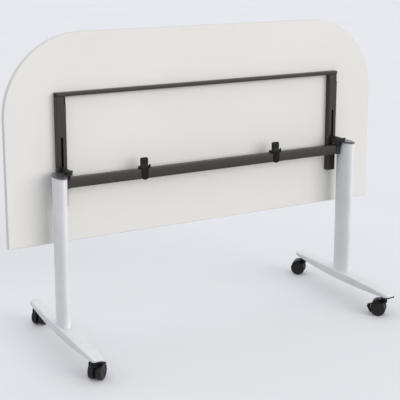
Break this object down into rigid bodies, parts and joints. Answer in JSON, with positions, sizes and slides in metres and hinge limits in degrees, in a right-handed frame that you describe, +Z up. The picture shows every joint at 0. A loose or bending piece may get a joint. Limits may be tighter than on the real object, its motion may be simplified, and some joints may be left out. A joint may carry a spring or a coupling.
{
  "type": "flip top training table",
  "caption": "Training table with a tilting laminate top on a crossbeam frame: oval columns, bowed feet on twin-wheel casters, latch bolts and rests for the level position.",
  "frame": {"origin": "on the floor, midway between the two columns", "axes": "+X along the table, +Y towards the side that the raised top hangs on, +Z up"},
  "size_m": [1.6, 0.6622, 1.1649],
  "materials": {
    "laminate": "matt white laminate on board",
    "edging": "thin plastic edge band",
    "anthracite": "warm anthracite powder coat",
    "white_coat": "white powder coat",
    "white_casting": "white powder coat on a casting",
    "dark_casting": "dark grey powder coat on a casting",
    "dark_steel": "dark grey powder coat",
    "cap_plastic": "dark grey moulded plastic",
    "black_plastic": "fine textured black plastic",
    "tread": "black caster tread and hub",
    "steel": "zinc plated steel",
    "nylon": "natural nylon"
  },
  "bodies": {
    "leg_frame": {"crossbeam": "anthracite", "top_rest_left": "black_plastic", "saddle_left": "dark_casting", "pivot_arm_left": "dark_steel", "arm_bolt_left": "steel", "pivot_bush_left": "nylon", "column_left": "white_coat", "column_cap_left": "cap_plastic", "foot_left": "white_casting", "foot_bolt_left": "steel", "top_rest_right": "black_plastic", "saddle_right": "dark_casting", "pivot_arm_right": "dark_steel", "arm_bolt_right": "steel", "pivot_bush_right": "nylon", "column_right": "white_coat", "column_cap_right": "cap_plastic", "foot_right": "white_casting", "foot_bolt_right": "steel", "caster_stem_front_left": "steel", "caster_stem_front_right": "steel", "caster_stem_rear_left": "steel", "caster_stem_rear_right": "steel"},
    "flip_top": {"tabletop": "laminate", "edge_band": "edging", "front_rail": "anthracite", "rail_plug_left": "black_plastic", "channel_left": "anthracite", "channel_plate_left": "steel", "plate_screw_left_1": "steel", "plate_screw_left_2": "steel", "pivot_pin_left": "steel", "rail_plug_right": "black_plastic", "channel_right": "anthracite", "channel_plate_right": "steel", "plate_screw_right_1": "steel", "plate_screw_right_2": "steel", "pivot_pin_right": "steel"},
    "latch_left": {"latch_bolt_left": "black_plastic"},
    "latch_right": {"latch_bolt_right": "black_plastic"},
    "fork_front_left": {"caster_hood_front_left": "black_plastic", "caster_axle_front_left": "steel"},
    "wheel_front_left_1": {"caster_wheel_front_left_1": "tread"},
    "wheel_front_left_2": {"caster_wheel_front_left_2": "tread"},
    "fork_front_right": {"caster_hood_front_right": "black_plastic", "caster_axle_front_right": "steel"},
    "wheel_front_right_1": {"caster_wheel_front_right_1": "tread"},
    "wheel_front_right_2": {"caster_wheel_front_right_2": "tread"},
    "brake_pedal": {"brake_lever": "black_plastic"},
    "fork_rear_left": {"caster_hood_rear_left": "black_plastic", "caster_axle_rear_left": "steel"},
    "wheel_rear_left_1": {"caster_wheel_rear_left_1": "tread"},
    "wheel_rear_left_2": {"caster_wheel_rear_left_2": "tread"},
    "fork_rear_right": {"caster_hood_rear_right": "black_plastic", "caster_axle_rear_right": "steel"},
    "wheel_rear_right_1": {"caster_wheel_rear_right_1": "tread"},
    "wheel_rear_right_2": {"caster_wheel_rear_right_2": "tread"}
  },
  "joints": [
    {"name": "flip", "type": "hinge", "parent": "leg_frame", "child": "flip_top", "pos_m": [0, 0.05788, 0.67548], "axis": [1, 0, 0], "range_deg": [0, 90]},
    {"name": "latch_slide_left", "type": "slide", "parent": "flip_top", "child": "latch_left", "axis": [0, 0, 1], "range_m": [-0.0065, 0]},
    {"name": "latch_slide_right", "type": "slide", "parent": "flip_top", "child": "latch_right", "axis": [0, 0, 1], "range_m": [-0.0065, 0]},
    {"name": "swivel_front_left", "type": "hinge", "parent": "leg_frame", "child": "fork_front_left", "pos_m": [-0.629, -0.2835, 0.05833], "axis": [0, 0, 1], "continuous": true},
    {"name": "roll_front_left_1", "type": "hinge", "parent": "fork_front_left", "child": "wheel_front_left_1", "pos_m": [-0.61328, -0.26884, 0.0305], "axis": [0.682, -0.7314, 0], "continuous": true},
    {"name": "roll_front_left_2", "type": "hinge", "parent": "fork_front_left", "child": "wheel_front_left_2", "pos_m": [-0.61328, -0.26884, 0.0305], "axis": [0.682, -0.7314, 0], "continuous": true},
    {"name": "swivel_front_right", "type": "hinge", "parent": "leg_frame", "child": "fork_front_right", "pos_m": [0.629, -0.2835, 0.05833], "axis": [0, 0, 1], "continuous": true},
    {"name": "roll_front_right_1", "type": "hinge", "parent": "fork_front_right", "child": "wheel_front_right_1", "pos_m": [0.61434, -0.26778, 0.0305], "axis": [0.7314, 0.682, 0], "continuous": true},
    {"name": "roll_front_right_2", "type": "hinge", "parent": "fork_front_right", "child": "wheel_front_right_2", "pos_m": [0.61434, -0.26778, 0.0305], "axis": [0.7314, 0.682, 0], "continuous": true},
    {"name": "brake_press", "type": "hinge", "parent": "fork_front_right", "child": "brake_pedal", "pos_m": [0.64471, -0.27102, 0.06005], "axis": [0.7314, 0.682, 0], "range_deg": [0, 18]},
    {"name": "swivel_rear_left", "type": "hinge", "parent": "leg_frame", "child": "fork_rear_left", "pos_m": [-0.629, 0.2835, 0.05833], "axis": [0, 0, 1], "continuous": true},
    {"name": "roll_rear_left_1", "type": "hinge", "parent": "fork_rear_left", "child": "wheel_rear_left_1", "pos_m": [-0.61328, 0.29816, 0.0305], "axis": [0.682, -0.7314, 0], "continuous": true},
    {"name": "roll_rear_left_2", "type": "hinge", "parent": "fork_rear_left", "child": "wheel_rear_left_2", "pos_m": [-0.61328, 0.29816, 0.0305], "axis": [0.682, -0.7314, 0], "continuous": true},
    {"name": "swivel_rear_right", "type": "hinge", "parent": "leg_frame", "child": "fork_rear_right", "pos_m": [0.629, 0.2835, 0.05833], "axis": [0, 0, 1], "continuous": true},
    {"name": "roll_rear_right_1", "type": "hinge", "parent": "fork_rear_right", "child": "wheel_rear_right_1", "pos_m": [0.61434, 0.29922, 0.0305], "axis": [0.7314, 0.682, 0], "continuous": true},
    {"name": "roll_rear_right_2", "type": "hinge", "parent": "fork_rear_right", "child": "wheel_rear_right_2", "pos_m": [0.61434, 0.29922, 0.0305], "axis": [0.7314, 0.682, 0], "continuous": true}
  ]
}
